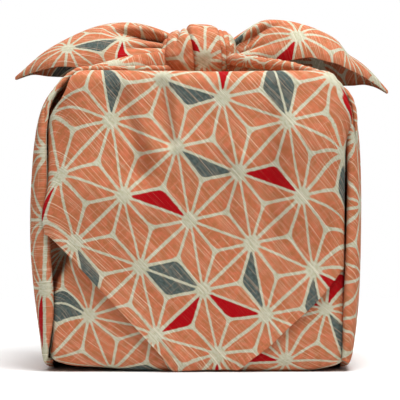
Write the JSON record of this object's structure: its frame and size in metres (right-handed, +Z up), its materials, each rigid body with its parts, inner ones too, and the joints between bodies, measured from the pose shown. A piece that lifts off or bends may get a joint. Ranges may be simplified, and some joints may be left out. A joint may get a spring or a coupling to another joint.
{
  "type": "furoshiki wrap",
  "caption": "Square bundle wrapped in a printed cotton cloth, its front corner flap tucked under and its side corners tied in a flat square knot on top.",
  "frame": {"origin": "middle of the flat base, in the plane of the surface that it stands on", "axes": "+Z up, front flap facing -Y, one ear towards -X and the other towards +X"},
  "size_m": [0.265, 0.2005, 0.2411],
  "materials": {
    "printed_cotton": "matt slub cotton, printed"
  },
  "bodies": {
    "root": {"furoshiki_cloth": "printed_cotton"}
  },
  "joints": []
}
